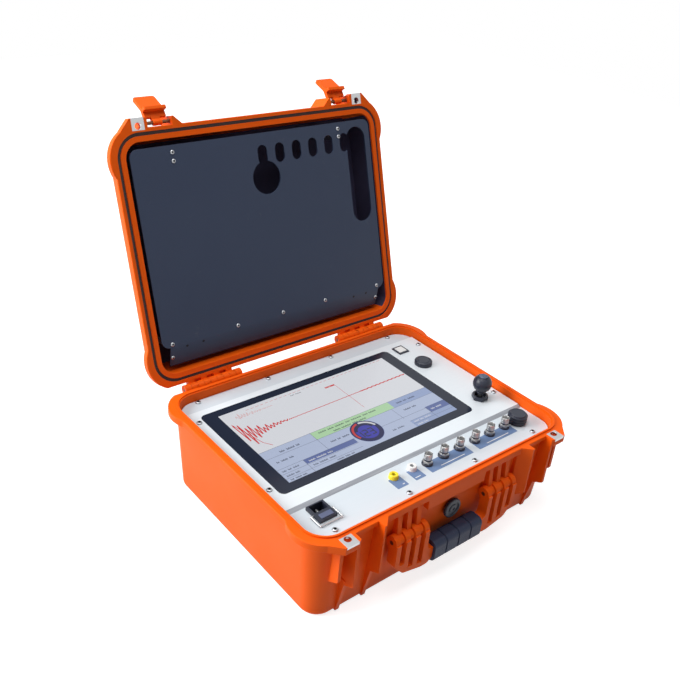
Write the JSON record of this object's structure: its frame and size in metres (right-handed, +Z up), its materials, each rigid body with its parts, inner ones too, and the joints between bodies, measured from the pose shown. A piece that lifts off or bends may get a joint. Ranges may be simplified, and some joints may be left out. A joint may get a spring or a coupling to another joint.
{
  "type": "time domain reflectometer in a carry case",
  "caption": "Portable time domain reflectometer built into an orange hard carry case, lid open, with a wide display and a row of coaxial sockets.",
  "frame": {"origin": "centre of the base's flat underside, on the floor", "axes": "+X to the user's right along the front, +Y from the front to the hinge side, +Z up"},
  "size_m": [0.397, 0.4613, 0.4301],
  "materials": {
    "case_orange": "satin moulded polypropylene",
    "grip_rubber": "matte",
    "seal_rubber": "matte",
    "steel": "satin",
    "nickel": "bright",
    "panel_silver": "fine brushed, clear anodised",
    "insert_slate": "satin powder coat",
    "screen_glass": "clear with a dark printed border",
    "screen_panel": "lit",
    "black_plastic": "satin",
    "grey_plastic": "satin",
    "white_plastic": "gloss",
    "yellow_plastic": "gloss",
    "frame_aluminium": "milled",
    "board_green": "solder mask",
    "battery_wrap": "shrink film"
  },
  "bodies": {
    "base": {"base_padlock_plates": "steel", "base_panel": "panel_silver", "base_shell": "case_orange", "battery_pack": "battery_wrap", "battery_strap": "frame_aluminium", "board_standoffs": "steel", "chassis_tray": "frame_aluminium", "coax_insulators": "black_plastic", "coax_sockets": "nickel", "data_socket": "black_plastic", "display_glass": "screen_glass", "display_plate": "panel_silver", "handle_pins": "steel", "hinge_pins": "steel", "inlet_blades": "nickel", "joystick_housing": "black_plastic", "joystick_nut": "black_plastic", "lcd_module": "screen_panel", "main_board": "board_green", "mains_inlet": "black_plastic", "panel_frame": "frame_aluminium", "panel_screws": "steel", "plate_screws": "steel", "power_button_frame": "black_plastic", "power_supply": "frame_aluminium", "power_switch": "black_plastic", "pressure_valve": "black_plastic", "pulse_board": "board_green", "round_connector": "black_plastic", "white_socket": "white_plastic", "yellow_socket": "yellow_plastic"},
    "lid": {"lid_shell": "case_orange", "lid_gasket": "seal_rubber", "lid_lining": "seal_rubber", "lid_padlock_plates": "steel", "lid_insert": "insert_slate", "insert_posts": "frame_aluminium", "insert_screws": "steel", "latch_pins": "steel"},
    "latch_right": {"latch_body_right": "case_orange"},
    "latch_left": {"latch_body_left": "case_orange"},
    "handle": {"carry_handle": "case_orange", "handle_grip": "grip_rubber"},
    "power_button": {"power_button": "white_plastic"},
    "data_cap": {"data_cap": "black_plastic"},
    "round_cap": {"round_cap": "black_plastic"},
    "fuse_drawer": {"fuse_drawer": "grey_plastic"},
    "inlet_bail": {"inlet_bail": "steel"},
    "gimbal": {"joystick_gimbal": "steel"},
    "joystick": {"joystick_stick": "black_plastic", "joystick_ball": "black_plastic"},
    "joystick_button": {"joystick_button": "black_plastic"}
  },
  "joints": [
    {"name": "lid_hinge", "type": "hinge", "parent": "base", "child": "lid", "pos_m": [0, 0.1585, 0.1127], "axis": [-1, 0, 0], "range_deg": [-107.4, 0]},
    {"name": "latch_right_swing", "type": "hinge", "parent": "lid", "child": "latch_right", "pos_m": [0.1315, 0.26246, 0.40865], "axis": [-1, 0, 0], "range_deg": [-112, 0]},
    {"name": "latch_left_swing", "type": "hinge", "parent": "lid", "child": "latch_left", "pos_m": [-0.1315, 0.26246, 0.40865], "axis": [-1, 0, 0], "range_deg": [-112, 0]},
    {"name": "handle_swing", "type": "hinge", "parent": "base", "child": "handle", "pos_m": [0, -0.152, 0.076], "axis": [-1, 0, 0], "range_deg": [0, 95]},
    {"name": "power_button_press", "type": "slide", "parent": "base", "child": "power_button", "axis": [0, 0, -1], "range_m": [0, 0.0015], "stiffness_N_per_m": 300},
    {"name": "data_cap_pull", "type": "slide", "parent": "base", "child": "data_cap", "axis": [0, 0, 1], "range_m": [0, 0.012]},
    {"name": "round_cap_pull", "type": "slide", "parent": "base", "child": "round_cap", "axis": [0, 0, 1], "range_m": [0, 0.016]},
    {"name": "fuse_drawer_pull", "type": "slide", "parent": "base", "child": "fuse_drawer", "axis": [0, 0, 1], "range_m": [0, 0.016]},
    {"name": "inlet_bail_swing", "type": "hinge", "parent": "base", "child": "inlet_bail", "pos_m": [-0.149, -0.1015, 0.1074], "axis": [-1, 0, 0], "range_deg": [0, 110]},
    {"name": "joystick_side_tilt", "type": "hinge", "parent": "base", "child": "gimbal", "pos_m": [0.149, -0.0443, 0.0945], "axis": [0, 1, 0], "range_deg": [-8, 8], "stiffness_Nm_per_rad": 0.15},
    {"name": "joystick_fore_tilt", "type": "hinge", "parent": "gimbal", "child": "joystick", "pos_m": [0.149, -0.0443, 0.0945], "axis": [1, 0, 0], "range_deg": [-8, 8], "stiffness_Nm_per_rad": 0.15},
    {"name": "joystick_button_press", "type": "slide", "parent": "joystick", "child": "joystick_button", "axis": [0, 0, -1], "range_m": [0, 0.001], "stiffness_N_per_m": 500}
  ]
}
